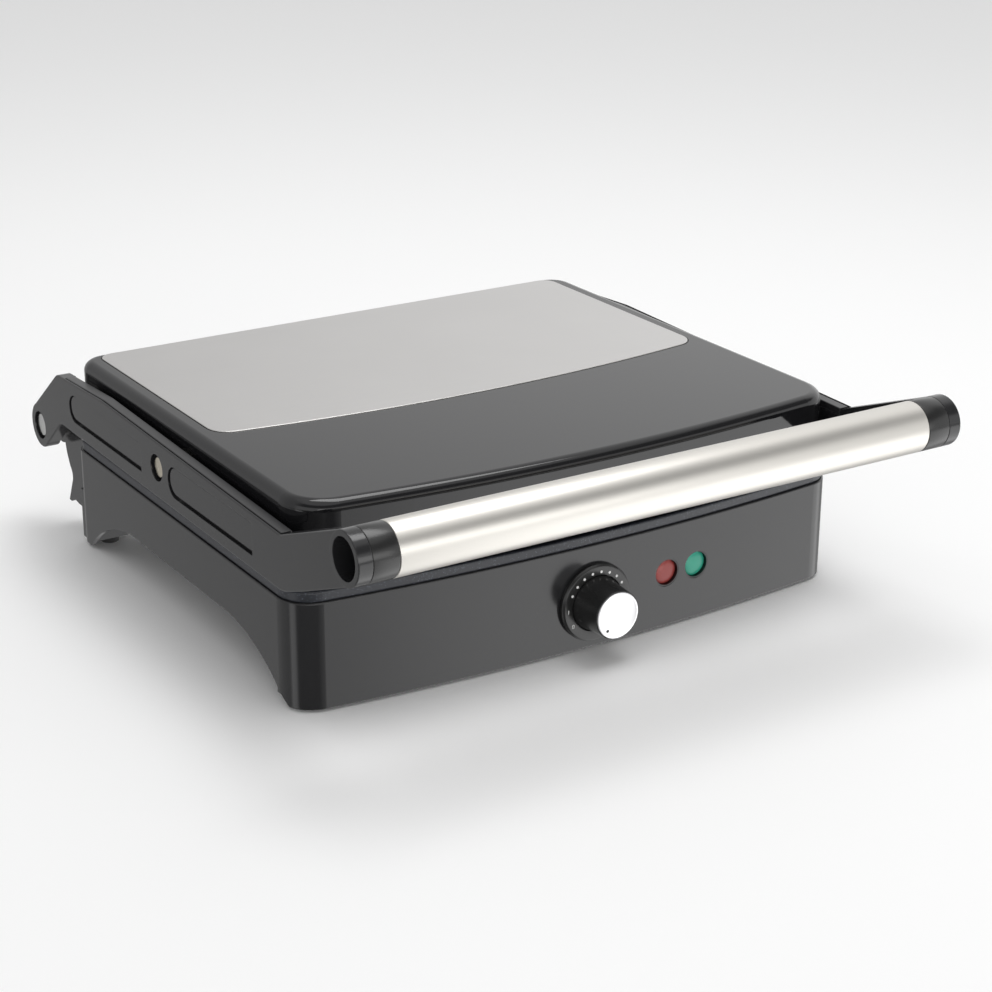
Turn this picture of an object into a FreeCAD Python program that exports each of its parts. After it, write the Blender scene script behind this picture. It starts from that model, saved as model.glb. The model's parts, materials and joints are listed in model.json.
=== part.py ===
"""A panini press: a two-plate contact grill with a tubular handle carried by two side arms.

Frame: millimetres, +X to the right, +Y to the rear, +Z up.  The origin is the point on the table
below the middle of the closed press.  The press is symmetric about the plane x = 0 except for the
lamps and the pieces inside the base.  Every driving size is a cell of the sheet "Dims"; the sizes of
the pieces are formulas on those cells.
"""
import FreeCAD, Part
import math
import os

import Sketcher

Vector = FreeCAD.Vector

# ---------------------------------------------------------------------------------------------
# Driving dimensions (millimetres, degrees where the name says angle)
# ---------------------------------------------------------------------------------------------
DIMENSIONS = {
    # handle
    "tube_radius": 14.0,
    "tube_wall": 1.5,
    "handle_y": -192.3,
    "handle_z": 115.0,
    "handle_half": 183.6,
    "sleeve_outer_x": 175.9,
    "sleeve_inner_x": 161.5,
    "spigot_end_x": 146.0,
    "bore_radius": 10.9,
    # arms
    "arm_outer_x": 181.3,
    "arm_inner_x": 173.3,
    "arm_low_z": 72.4,
    "arm_mid_y": 95.5,
    "arm_mid_z": 107.4,
    "rail_front_y": -122.8,
    "rail_front_z": 102.3,
    "rail_rear_y": 150.0,
    "rail_depth": 4.0,
    "rail_lip": 1.0,
    "rail_gap": 0.9,
    "pivot_y": 21.4,
    "pivot_z": 90.7,
    # hinge
    "hinge_y": 192.8,
    "hinge_z": 63.5,
    "eye_radius": 13.5,
    "pin_radius": 5.0,
    "running_gap": 0.05,
    "bracket_outer_x": 168.3,
    "bracket_inner_x": 156.3,
    # base
    "base_half": 174.0,
    "base_front_y": -119.5,
    "base_bow": 11.1,
    "base_rear_y": 156.5,
    "base_top_z": 60.2,
    "base_low_z": 1.2,
    "wall": 3.0,
    "arch_top_z": 30.0,
    "arch_radius": 101.0,
    "arch_middle_y": 16.0,
    "arch_flat": 56.0,
    "cover_z": 30.4,
    "cover_thick": 2.5,
    "bay_low_z": 3.2,
    "bay_rear_y": -94.0,
    # plates
    "rim_half": 173.0,
    "rim_low_z": 61.0,
    "rim_top_z": 66.0,
    "plate_gap": 3.8,
    "rib_pitch": 9.4,
    "rib_count": 31.0,
    "cook_half": 146.5,
    "cook_front_y": -104.0,
    "cook_rear_y": 138.0,
    # lid
    "lid_half": 169.5,
    "lid_front_y": -121.0,
    "lid_bow": 13.0,
    "lid_rear_y": 158.5,
    "lid_low_z": 74.0,
    "lid_top_z": 113.6,
    "lid_edge_radius": 5.8,
    "lid_wall": 2.8,
    "steel_half": 158.0,
    "steel_front_y": -5.5,
    "steel_bow": 13.5,
    "steel_rear_y": 153.3,
    "steel_thick": 1.5,
    "steel_gap": 0.6,
    "steel_proud": 0.5,
    # controls
    "knob_z": 27.8,
    "skirt_radius": 22.0,
    "skirt_thick": 3.4,
    "knob_radius": 15.4,
    "knob_length": 22.2,
    "cap_radius": 12.9,
    "shaft_radius": 3.0,
    "lamp_radius": 7.2,
    "lamp_z": 32.8,
    "red_lamp_x": 49.0,
    "green_lamp_x": 69.5,
}

# Places of the small fixings (millimetres)
COVER_SCREW_X = 165.5
COVER_SCREW_Y = (-66.0, 22.0, 108.0)
BRACKET_SCREW_X = 160.2
BRACKET_SCREW_Z = (38.0, 52.0)
INLET_X = -60.0
INLET_Z = 44.0
FRONT_FOOT = (146.0, -111.0)
REAR_FOOT = (159.5, 147.6)
LEG_COLUMN_X = 150.0
LEG_COLUMN_Y = 142.0
HANDLE_SCREW_X = 153.0
PIVOT_SHANK = 4.0
BEZEL_WALL = 0.75
PLATE_BODY_LOW_Z = 55.5
POINTER_ANGLE = 230.0  # from +X towards +Z, seen from the front: the off position, low on the left

doc = FreeCAD.newDocument("PaniniPress")
sheet = doc.addObject("Spreadsheet::Sheet", "Dims")


class Size:
    """A number together with the sheet formula that it comes from."""

    def __init__(self, value, text):
        self.value = value
        self.text = text

    @staticmethod
    def of(thing):
        return thing if isinstance(thing, Size) else Size(float(thing), "(%r)" % float(thing))

    def _with(self, other, sign, value):
        return Size(value, "(%s %s %s)" % (self.text, sign, other.text))

    def __add__(self, other):
        other = Size.of(other)
        return self._with(other, "+", self.value + other.value)

    def __sub__(self, other):
        other = Size.of(other)
        return self._with(other, "-", self.value - other.value)

    def __mul__(self, other):
        other = Size.of(other)
        return self._with(other, "*", self.value * other.value)

    def __truediv__(self, other):
        other = Size.of(other)
        return self._with(other, "/", self.value / other.value)

    def __radd__(self, other):
        return Size.of(other) + self

    def __rsub__(self, other):
        return Size.of(other) - self

    def __rmul__(self, other):
        return Size.of(other) * self

    def __neg__(self):
        return Size.of(0) - self


def fill_sheet():
    """Write the driving dimensions into the sheet, one named cell each."""
    for row, (name, value) in enumerate(DIMENSIONS.items(), start=1):
        sheet.set("A%d" % row, name)
        sheet.set("B%d" % row, repr(value))
        sheet.setAlias("B%d" % row, name)
    doc.recompute()


def root(size):
    """Square root of a Size."""
    return Size(math.sqrt(size.value), "sqrt(%s)" % size.text)


class Dimension:
    """Gives each cell of the sheet by its name, as a Size."""

    def __getattr__(self, name):
        return Size(float(sheet.get(name)), "Dims." + name)


d = Dimension()
FLAT = "XY_Plane"      # sketch x, y are X, Y; drawn shapes grow along Z
FACING = "XZ_Plane"    # sketch x, y are X, Z; drawn shapes grow along Y
SIDEWAYS = "YZ_Plane"  # sketch x, y are Y, Z; drawn shapes grow along X
pieces = {}


def bind(thing, prop, size):
    """Set a property of an object from a Size, as a formula on the sheet."""
    thing.setExpression(prop, Size.of(size).text)


def register(thing, label):
    """Give a finished sub-part its Label, which names its file."""
    thing.Label = label
    pieces[label] = thing
    return thing


class Piece:
    """One PartDesign body, made by adding and cutting prisms and revolutions."""

    def __init__(self, label):
        self.body = register(doc.addObject("PartDesign::Body", label), label)

    def _plane(self, role):
        return next(item for item in self.body.Origin.OriginFeatures if item.Role == role)

    def _sketch(self, role, start):
        sketch = self.body.newObject("Sketcher::SketchObject", "Sketch")
        sketch.AttachmentSupport = [(self._plane(role), "")]
        sketch.MapMode = "FlatFace"
        start = Size.of(start)
        bind(sketch, "AttachmentOffset.Base.z", -start if role == FACING else start)
        return sketch

    def _outline(self, sketch, corners):
        """Closed outline: (x, y) starts a straight edge, and (x, y, radius) an arc that bulges
        outwards on an outline drawn anticlockwise."""
        first = sketch.GeometryCount
        count = len(corners)
        places = [Vector(Size.of(c[0]).value, Size.of(c[1]).value, 0) for c in corners]
        for i, corner in enumerate(corners):
            begin, finish = places[i], places[(i + 1) % count]
            if len(corner) == 2:
                sketch.addGeometry(Part.LineSegment(begin, finish), False)
                continue
            radius = Size.of(corner[2]).value
            chord = finish - begin
            sag = radius - math.sqrt(radius ** 2 - (chord.Length / 2) ** 2)
            outwards = Vector(chord.y, -chord.x, 0).normalize() * sag
            sketch.addGeometry(Part.Arc(begin, (begin + finish) * 0.5 + outwards, finish), False)
        for i, corner in enumerate(corners):
            here, following = first + i, first + (i + 1) % count
            sketch.addConstraint(Sketcher.Constraint("Coincident", here, 2, following, 1))
            for kind, amount in (("DistanceX", corner[0]), ("DistanceY", corner[1])):
                self._fix(sketch, kind, amount, -1, 1, here, 1)
            if len(corner) == 3:
                self._fix(sketch, "Radius", corner[2], here)

    @staticmethod
    def _fix(sketch, kind, amount, *where):
        amount = Size.of(amount)
        number = sketch.addConstraint(Sketcher.Constraint(kind, *where, amount.value))
        sketch.setExpression("Constraints[%d]" % number, amount.text)

    def _circles(self, sketch, circles):
        """Circles given as (x, y, radius)."""
        for x, y, radius in circles:
            x, y, radius = Size.of(x), Size.of(y), Size.of(radius)
            circle = Part.Circle(Vector(x.value, y.value, 0), Vector(0, 0, 1), radius.value)
            number = sketch.addGeometry(circle, False)
            self._fix(sketch, "DistanceX", x, -1, 1, number, 3)
            self._fix(sketch, "DistanceY", y, -1, 1, number, 3)
            self._fix(sketch, "Radius", radius, number)

    def _prism(self, kind, role, start, length, corners, circles):
        before = self.body.Shape.Volume if self.body.Tip else 0.0
        sketch = self._sketch(role, start)
        if corners:
            self._outline(sketch, corners)
        self._circles(sketch, circles)
        prism = self.body.newObject("PartDesign::" + kind, kind)
        prism.Profile = sketch
        bind(prism, "Length", length)
        prism.Reversed = (role == FACING) == (kind == "Pad")
        self._settle(prism)
        gained = self.body.Shape.Volume - before
        if (gained > 0) != (kind == "Pad"):
            raise RuntimeError("%s: a %s changes the volume by %.3f" % (self.body.Label, kind, gained))
        return prism

    def _settle(self, feature):
        self.body.Tip = feature
        doc.recompute()
        if "Invalid" in feature.State or feature.Shape.isNull():
            raise RuntimeError("%s: %s failed" % (self.body.Label, feature.Name))

    def add(self, role, start, length, corners=(), circles=()):
        """Add a prism that starts at the given coordinate and grows the positive way."""
        return self._prism("Pad", role, start, length, corners, circles)

    def cut(self, role, start, length, corners=(), circles=()):
        """Cut a prism that starts at the given coordinate and grows the positive way."""
        return self._prism("Pocket", role, start, length, corners, circles)

    def turn(self, role, start, corners, axis):
        """Revolve an outline about the sketch's own "V_Axis" or "H_Axis"."""
        sketch = self._sketch(role, start)
        self._outline(sketch, corners)
        turned = self.body.newObject("PartDesign::Revolution", "Revolution")
        turned.Profile = sketch
        turned.ReferenceAxis = (sketch, [axis])
        turned.Angle = 360
        self._settle(turned)

    def round_edges(self, radius, chosen, kind="Fillet"):
        """Round (or chamfer) every edge for which chosen(edge) is true."""
        base = self.body.Tip
        shape = base.Shape
        names = ["Edge%d" % (i + 1) for i, edge in enumerate(shape.Edges) if chosen(edge)]
        if not names:
            raise RuntimeError("%s: no edge to round" % self.body.Label)
        rounding = self.body.newObject("PartDesign::" + kind, kind)
        rounding.Base = (base, names)
        bind(rounding, "Radius" if kind == "Fillet" else "Size", radius)
        self._settle(rounding)

    def repeat(self, feature, direction_role, step, count):
        """Repeat a feature along a sketch axis of the body's origin."""
        axis = next(item for item in self.body.Origin.OriginFeatures if item.Role == direction_role)
        pattern = self.body.newObject("PartDesign::LinearPattern", "Pattern")
        pattern.Originals = [feature]
        pattern.Direction = (axis, [""])
        bind(pattern, "Length", Size.of(step) * (Size.of(count) - 1))
        bind(pattern, "Occurrences", count)
        self._settle(pattern)


# ---- choosing edges --------------------------------------------------------------------------
def edge_at(role, spots):
    """Edges square to a plane that stand on one of the given spots of it."""
    wanted = [(Size.of(a).value, Size.of(b).value) for a, b in spots]

    def chosen(edge):
        ends = [vertex.Point for vertex in edge.Vertexes]
        if len(ends) != 2:
            return False
        flat = {FLAT: lambda p: (p.x, p.y), FACING: lambda p: (p.x, p.z),
                SIDEWAYS: lambda p: (p.y, p.z)}[role]
        first, second = flat(ends[0]), flat(ends[1])
        slid = math.dist(first, second)
        if slid > 0.1 * (ends[0] - ends[1]).Length:
            return False
        return any(math.dist(first, spot) < 0.5 or math.dist(second, spot) < 0.5 for spot in wanted)

    return chosen


def edge_level(axis, value, slack=0.02):
    """Edges that lie wholly in the plane where the given axis has the given value."""
    target = Size.of(value).value

    def chosen(edge):
        box = edge.BoundBox
        low, high = {"x": (box.XMin, box.XMax), "y": (box.YMin, box.YMax),
                     "z": (box.ZMin, box.ZMax)}[axis]
        return abs(low - target) < slack and abs(high - target) < slack

    return chosen


# ---- outlines that several pieces share --------------------------------------------------------
def bow_radius(half_width, bow):
    """Radius of an arc over a chord of twice half_width that rises by bow."""
    return (half_width * half_width + bow * bow) / (bow * 2)


def rounded_front(half, front, rear, bow, front_corner, rear_corner):
    """Box-like outline with round corners whose front edge bows outwards, drawn anticlockwise.
    front is where the bowed edge would meet the sides if the corners were sharp."""
    half, front, rear = Size.of(half), Size.of(front), Size.of(rear)
    big = bow_radius(half, Size.of(bow))
    centre = front - bow + big
    # centre of a front corner: it touches the side and the bowed edge from inside
    reach = big - front_corner
    across = half - front_corner
    down = root(reach * reach - across * across)
    side_y = centre - down
    touch_x = across * big / reach
    touch_y = centre - down * big / reach
    return [(-touch_x, touch_y, big), (touch_x, touch_y, front_corner), (half, side_y),
            (half, rear - rear_corner, rear_corner), (half - rear_corner, rear),
            (-half + rear_corner, rear, rear_corner), (-half, rear - rear_corner),
            (-half, side_y, front_corner)]


def box_outline(left, right, low, high):
    return [(left, low), (right, low), (right, high), (left, high)]


# ---- plain solids ------------------------------------------------------------------------------
AXIS_TURN = {
    "x": FreeCAD.Rotation(Vector(0, 1, 0), 90),
    "y": FreeCAD.Rotation(Vector(1, 0, 0), -90),
    "z": FreeCAD.Rotation(),
}


def cylinder(name, axis, centre, radius, length):
    """Cylinder that starts at centre and grows along the given axis."""
    solid = doc.addObject("Part::Cylinder", name)
    solid.Placement = FreeCAD.Placement(Vector(), AXIS_TURN[axis])
    bind(solid, "Radius", radius)
    bind(solid, "Height", length)
    for letter, value in zip("xyz", centre):
        bind(solid, "Placement.Base." + letter, value)
    return solid


def block(name, low, size):
    """Box from its lowest corner and its three side lengths."""
    solid = doc.addObject("Part::Box", name)
    for prop, value in zip(("Length", "Width", "Height"), size):
        bind(solid, prop, value)
    for letter, value in zip("xyz", low):
        bind(solid, "Placement.Base." + letter, value)
    return solid


def fuse(label, solids):
    joined = doc.addObject("Part::MultiFuse", label)
    joined.Shapes = solids
    return joined


def cut_from(label, base, tool):
    result = doc.addObject("Part::Cut", label)
    result.Base = base
    result.Tool = tool
    return result


def group(label, solids):
    """Several separate like solids kept in one node."""
    gathered = doc.addObject("Part::Compound", label)
    gathered.Links = solids
    return register(gathered, label)


def screw(name, axis, head_start, head_radius, head_length, shank_radius, shank_length):
    """Screw whose head starts at head_start and whose shank follows along the axis (signed by the
    letter: "x", "y", "z" grow the positive way, "-x" the negative way)."""
    letter = axis[-1]
    backwards = axis.startswith("-")
    index = "xyz".index(letter)
    head_from = [Size.of(value) for value in head_start]
    shank_from = list(head_from)
    if backwards:
        shank_from[index] = head_from[index] - head_length - shank_length
        head_from[index] = head_from[index] - head_length
    else:
        shank_from[index] = head_from[index] + head_length
    head = cylinder(name + "_head", letter, head_from, head_radius, head_length)
    shank = cylinder(name + "_shank", letter, shank_from, shank_radius, shank_length)
    return fuse(name, [head, shank])


def span(side, inner, outer):
    """Start of a stretch along X on one side of the press, and its length."""
    inner, outer = Size.of(inner), Size.of(outer)
    return (inner if side > 0 else -outer), outer - inner


SIDES = ((-1, "left"), (1, "right"))


# ================================================================================================
# Base
# ================================================================================================
def make_lower_housing():
    """Open moulded tray wall: bowed front panel down to the table, arched sides, four leg corners."""
    piece = Piece("lower_housing")
    front, rear, wall = d.base_front_y, d.base_rear_y, d.wall
    height = d.base_top_z - d.base_low_z
    piece.add(FLAT, d.base_low_z, height,
              rounded_front(d.base_half, front, rear, d.base_bow, 19.0, 10.0))
    for level in (d.base_low_z, d.base_top_z):
        piece.round_edges(0.8, edge_level("z", level))
    piece.cut(FLAT, d.base_low_z - 1, height + 2, rounded_front(
        d.base_half - wall, front + wall, rear - wall, d.base_bow, 16.0, 7.0))
    # leg columns in the rear corners carry the rear feet
    for side, _ in SIDES:
        start, length = span(side, LEG_COLUMN_X, d.base_half - 1)
        piece.add(FLAT, d.bay_low_z, d.cover_z,
                  box_outline(start, start + length, LEG_COLUMN_Y, 155.0))
    # bosses for the screws of the bottom cover grow out of the side walls
    for side, _ in SIDES:
        for y in COVER_SCREW_Y:
            piece.add(FLAT, d.cover_z + d.cover_thick, 16.0,
                      circles=[(side * COVER_SCREW_X, y, 6.2)])
            piece.cut(FLAT, d.cover_z + d.cover_thick, 12.0,
                      circles=[(side * COVER_SCREW_X, y, 1.5)])
    # long arch through both side walls, low arch through the rear wall
    deep = d.base_low_z - 1
    drop = d.arch_radius - (d.arch_top_z - deep)
    reach = root(d.arch_radius * d.arch_radius - drop * drop)
    foot = d.arch_flat + reach
    piece.cut(SIDEWAYS, -200.0, 400.0, [
        (d.arch_middle_y - foot, deep), (d.arch_middle_y + foot, deep, d.arch_radius),
        (d.arch_middle_y + d.arch_flat, d.arch_top_z),
        (d.arch_middle_y - d.arch_flat, d.arch_top_z, d.arch_radius)])
    piece.cut(FACING, 141.0, 30.0, box_outline(-146.0, 146.0, deep, 15.0))
    # front panel: shaft hole and two lamp seats
    lamps = [(x, d.lamp_z, d.lamp_radius + BEZEL_WALL + 0.05)
             for x in (d.red_lamp_x, d.green_lamp_x)]
    piece.cut(FACING, -140.0, 20.0, circles=[(0, d.knob_z, 5.0)] + lamps)
    # rear wall: cord inlet and bracket screws
    screws = [(side * BRACKET_SCREW_X, z, 2.1) for side, _ in SIDES for z in BRACKET_SCREW_Z]
    piece.cut(FACING, 150.0, 10.0, circles=[(INLET_X, INLET_Z, 6.0)] + screws)


def make_bottom_cover():
    """Plate that closes the base from below, stepped down at the front round the controls."""
    piece = Piece("bottom_cover")
    thick, room = d.cover_thick, 0.3
    half = d.base_half - d.wall - room
    rear = d.base_rear_y - d.wall - room
    step = d.bay_rear_y - thick
    column_x, column_y = LEG_COLUMN_X - room, LEG_COLUMN_Y - room
    piece.add(FLAT, d.cover_z, thick, [
        (-half, step), (half, step), (half, column_y), (column_x, column_y), (column_x, rear),
        (-column_x, rear), (-column_x, column_y), (-half, column_y)])
    # the bay round the controls: its rear wall, its floor and its two short ends
    piece.add(FLAT, d.bay_low_z, d.cover_z - d.bay_low_z, box_outline(-half, half, step, d.bay_rear_y))
    piece.add(FLAT, d.bay_low_z, thick, rounded_front(
        half, d.base_front_y + d.wall + room, d.bay_rear_y, d.base_bow, 15.7, 1.0))
    for side, _ in SIDES:
        start, length = span(side, half - thick, half)
        piece.add(FLAT, d.bay_low_z, 20.0, box_outline(start, start + length, -103.0, step + 0.5))
    # air slots in a row under the plate
    for x in range(-100, 101, 20):
        piece.cut(FLAT, d.cover_z - 1, 6.0, box_outline(x - 2.0, x + 2.0, 50.0, 90.0))
    holes = [(side * COVER_SCREW_X, y, 1.7) for side, _ in SIDES for y in COVER_SCREW_Y]
    piece.cut(FLAT, d.cover_z - 1, 6.0, circles=holes)


def make_small_base_parts():
    """Feet, screws, cord inlet, terminal block, fuse and wires."""
    feet = []
    for side, name in SIDES:
        for place, (x, y) in (("front", FRONT_FOOT), ("rear", REAR_FOOT)):
            feet.append(cylinder("foot_%s_%s" % (place, name), "z", (side * x, y, 0),
                                 7.5 if place == "front" else 5.2, d.bay_low_z))
    group("rubber_feet", feet)
    group("cover_screws", [
        screw("cover_screw", "z", (side * COVER_SCREW_X, y, d.cover_z - 1.8), 3.0, 1.8, 1.5, 12.0)
        for side, _ in SIDES for y in COVER_SCREW_Y])
    group("bracket_screws", [
        screw("bracket_screw", "y", (side * BRACKET_SCREW_X, d.base_rear_y - d.wall - 2.2, z),
              3.2, 2.2, 2.0, 11.0)
        for side, _ in SIDES for z in BRACKET_SCREW_Z])
    inlet = fuse("inlet_body", [
        cylinder("inlet_flange", "y", (INLET_X, d.base_rear_y, INLET_Z), 8.0, 2.0),
        cylinder("inlet_neck", "y", (INLET_X, d.base_rear_y - d.wall - 3, INLET_Z), 5.9, d.wall + 3.5),
        cylinder("inlet_nut", "y", (INLET_X, d.base_rear_y - d.wall - 3, INLET_Z), 7.6, 2.8)])
    bore = cylinder("inlet_bore", "y", (INLET_X, d.base_rear_y - 10, INLET_Z), 3.6, 20.0)
    register(cut_from("inlet", inlet, bore), "cord_inlet")
    block_body = block("terminal_body", (-22.0, 116.0, d.cover_z + d.cover_thick), (44.0, 14.0, 10.0))
    ways = fuse("terminal_ways", [
        cylinder("terminal_way", "y", (x, 110.0, d.cover_z + d.cover_thick + 5), 1.8, 30.0)
        for x in (-15.0, -5.0, 5.0, 15.0)])
    register(cut_from("terminal", block_body, ways), "terminal_block")
    register(fuse("fuse_whole", [
        cylinder("fuse_can", "x", (52.0, 20.0, 36.0), 2.2, 14.0),
        cylinder("fuse_lead_wire", "x", (44.0, 20.0, 36.0), 0.6, 30.0)]), "thermal_fuse")
    group("wiring", [
        cylinder("wire_%d" % number, "y", (x, -96.0, d.cover_z + d.cover_thick + 5), 1.3, 211.0)
        for number, x in enumerate((-5.0, 5.0))])


def plate_ribs(piece, low_z, high_z, wide_low):
    """Row of tapered ribs along Y; the wide side is at the plate."""
    first_x = -d.rib_pitch * (d.rib_count - 1) / 2
    low_half, high_half = (2.3, 1.3) if wide_low else (1.3, 2.3)
    rib = piece.add(FACING, d.cook_front_y, d.cook_rear_y - d.cook_front_y, [
        (first_x - low_half, low_z), (first_x + low_half, low_z),
        (first_x + high_half, high_z), (first_x - high_half, high_z)])
    piece.repeat(rib, "X_Axis", d.rib_pitch, d.rib_count)


def make_lower_plate():
    """Cast, ribbed cooking plate that lies on the base, with a drip groove inside its rim."""
    piece = Piece("lower_grill_plate")
    front, rear = d.base_front_y + 0.9, d.base_rear_y - 1.2
    piece.add(FLAT, d.rim_low_z, d.rim_top_z - d.rim_low_z,
              rounded_front(d.rim_half, front, rear, d.base_bow, 18.0, 10.0))
    piece.round_edges(1.2, edge_level("z", d.rim_top_z))
    piece.add(FLAT, d.base_top_z, d.rim_low_z - d.base_top_z, rounded_front(
        d.base_half - 1.6, d.base_front_y + 1.6, d.base_rear_y - 1.6, d.base_bow, 17.4, 8.4))
    inset = d.wall + 1.0
    piece.add(FLAT, PLATE_BODY_LOW_Z, d.base_top_z - PLATE_BODY_LOW_Z, rounded_front(
        d.base_half - inset, d.base_front_y + inset, d.base_rear_y - inset, d.base_bow, 15.0, 6.0))
    piece.cut(FLAT, 59.0, 10.0, box_outline(
        -d.cook_half, d.cook_half, d.cook_front_y - 7, d.cook_rear_y))
    piece.cut(FLAT, 57.8, 2.0, box_outline(-d.cook_half, d.cook_half,
                                           d.cook_front_y - 6.5, d.cook_front_y - 0.5))
    plate_ribs(piece, 58.9, d.rim_top_z - 0.5, True)


def make_upper_plate():
    """The same plate upside down, in the lid."""
    piece = Piece("upper_grill_plate")
    low = d.rim_top_z + d.plate_gap
    front, rear = d.lid_front_y + 1.2, d.lid_rear_y - 2.0
    half = d.lid_half - 1.8
    piece.add(FLAT, low, d.lid_low_z - 0.8 - low,
              rounded_front(half, front, rear, d.lid_bow, 23.0, 13.0))
    piece.round_edges(1.0, edge_level("z", low))
    piece.add(FLAT, d.lid_low_z - 0.8, 6.6, box_outline(-160.0, 160.0, -108.0, 146.0))
    piece.cut(FLAT, low - 3.2, 10.0, box_outline(
        -d.cook_half, d.cook_half, d.cook_front_y - 7, d.cook_rear_y))
    plate_ribs(piece, low + 0.5, low + 6.9, False)


def heating_element(label, z, terminal_z):
    """Tubular heater bent into a U with rounded corners, its cold ends turned down or up."""
    half, front, rear, bend, tube = 122.0, -84.0, 118.0, 34.0, 3.3
    turned = bend * (1 - math.sqrt(0.5))
    corner = half - bend
    up = Vector(0, 0, terminal_z)
    points = [Vector(-half, rear, z), Vector(-half, front + bend, z),
              Vector(-corner, front, z), Vector(corner, front, z),
              Vector(half, front + bend, z), Vector(half, rear, z)]
    edges = [
        Part.makeLine(points[0], points[1]),
        Part.Arc(points[1], Vector(-half + turned, front + turned, z), points[2]).toShape(),
        Part.makeLine(points[2], points[3]),
        Part.Arc(points[3], Vector(half - turned, front + turned, z), points[4]).toShape(),
        Part.makeLine(points[4], points[5])]
    path = Part.Wire(edges)
    profile = Part.Wire(Part.makeCircle(tube, points[0], Vector(0, 1, 0)))
    pipe = path.makePipeShell([profile], True, False)
    for x in (-half, half):
        end = Vector(x, rear, z)
        pipe = pipe.fuse(Part.makeSphere(tube, end))
        pipe = pipe.fuse(Part.makeCylinder(1.6, 9, end, up))
    element = doc.addObject("Part::Feature", label)
    element.Shape = pipe.removeSplitter()
    register(element, label)


def make_heat_shield(label, low, height, opens_up):
    """Folded sheet tray that throws the element's heat back at its plate."""
    piece = Piece(label)
    sheet_thick = 0.8
    piece.add(FLAT, low, height, box_outline(-140.0, 140.0, -100.0, 128.0))
    hollow_low = low + sheet_thick if opens_up else low
    piece.cut(FLAT, hollow_low, height - sheet_thick, box_outline(
        -140.0 + sheet_thick, 140.0 - sheet_thick, -100.0 + sheet_thick, 128.0 - sheet_thick))
    holes = [(x, 118.0, 5.0) for x in (-122.0, 122.0)]
    piece.cut(FLAT, low - 0.5 if opens_up else low + height - 2, 2.5, circles=holes)


def make_controls():
    """Thermostat and its shaft, the fixed dial ring, and the knob with its metal cap."""
    panel_y = d.base_front_y - d.base_bow            # outer face of the panel at its middle
    inside_y = panel_y + d.wall
    case = fuse("thermostat_whole", [
        block("thermostat_case", (-16.0, inside_y + 3, 15.0), (32.0, 22.0, 12.5)),
        block("thermostat_head", (-14.0, inside_y + 3, 27.5), (28.0, 18.0, 13.5)),
        cylinder("thermostat_neck", "y", (0, panel_y + 0.4, d.knob_z), 4.9, 7.0),
        block("thermostat_flange", (-20.0, inside_y + 0.3, d.knob_z - 9), (40.0, 2.9, 18.0))])
    neck_bore = cylinder("thermostat_bore", "y", (0, panel_y - 1, d.knob_z),
                         d.shaft_radius + d.running_gap, 17.0)
    register(cut_from("thermostat", case, neck_bore), "thermostat_body")
    shaft = cylinder("shaft_round", "y", (0, panel_y - 14, d.knob_z), d.shaft_radius, 26.0)
    flat = block("shaft_flat", (-4.0, panel_y - 15, d.knob_z + 1.9), (8.0, 11.0, 3.0))
    register(cut_from("shaft", shaft, flat), "thermostat_shaft")

    ring = Piece("dial_ring")
    ring_y = panel_y - 0.1
    ring_in = d.knob_radius + 0.5
    ring.turn(FLAT, d.knob_z, [
        (ring_in, ring_y), (d.skirt_radius, ring_y), (d.skirt_radius, ring_y - d.skirt_thick + 1.2),
        (d.skirt_radius - 1.2, ring_y - d.skirt_thick), (ring_in, ring_y - d.skirt_thick)], "V_Axis")

    knob = Piece("control_knob")
    back_y = panel_y - 0.5
    face_y = panel_y - d.knob_length
    rim = d.cap_radius + 0.7
    knob.turn(FLAT, d.knob_z, [
        (0, back_y), (d.knob_radius, back_y), (d.knob_radius, panel_y - d.skirt_thick - 0.6),
        (rim + 0.6, panel_y - d.skirt_thick - 3.0), (rim, face_y + 0.5), (rim - 0.5, face_y),
        (0, face_y)], "V_Axis")
    knob.cut(FACING, face_y - 1, 2.2, circles=[(0, d.knob_z, d.cap_radius + 0.1)])
    knob.cut(FACING, panel_y - 14, 14.0, circles=[(0, d.knob_z, d.shaft_radius)])

    cap = Piece("knob_cap")
    cap.add(FACING, face_y - 0.4, 1.6, circles=[(0, d.knob_z, d.cap_radius)])
    cap.round_edges(0.5, edge_level("y", face_y - 0.4))
    mark = math.radians(POINTER_ANGLE)
    cap.cut(FACING, face_y - 1, 1.1, circles=[
        (math.cos(mark) * (d.cap_radius - 2.2), d.knob_z + math.sin(mark) * (d.cap_radius - 2.2), 0.9)])


def make_lamps():
    """Two signal lamps: bezels in the panel, coloured lenses and the neon tubes behind them."""
    bezels, neons = [], []
    radius = bow_radius(d.base_half, d.base_bow)
    for name, x in (("red", d.red_lamp_x), ("green", d.green_lamp_x)):
        panel_y = d.base_front_y - d.base_bow + x * x / (radius * 2)
        outer = cylinder(name + "_bezel_outer", "y", (x, panel_y + 0.3, d.lamp_z),
                         d.lamp_radius + BEZEL_WALL, 6.0)
        hole = cylinder(name + "_bezel_hole", "y", (x, panel_y - 1, d.lamp_z), d.lamp_radius + 0.1, 9.0)
        bezels.append(cut_from(name + "_bezel", outer, hole))
        lens = Piece(name + "_lamp_lens")
        lens.add(FACING, panel_y + 1.4, 5.5, circles=[(x, d.lamp_z, d.lamp_radius)])
        lens.round_edges(1.2, edge_level("y", panel_y + 1.4))
        neons.append(cylinder(name + "_neon", "y", (x, panel_y + 7.4, d.lamp_z), 3.0, 14.0))
    group("lamp_bezels", bezels)
    group("neon_lamps", neons)


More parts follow.
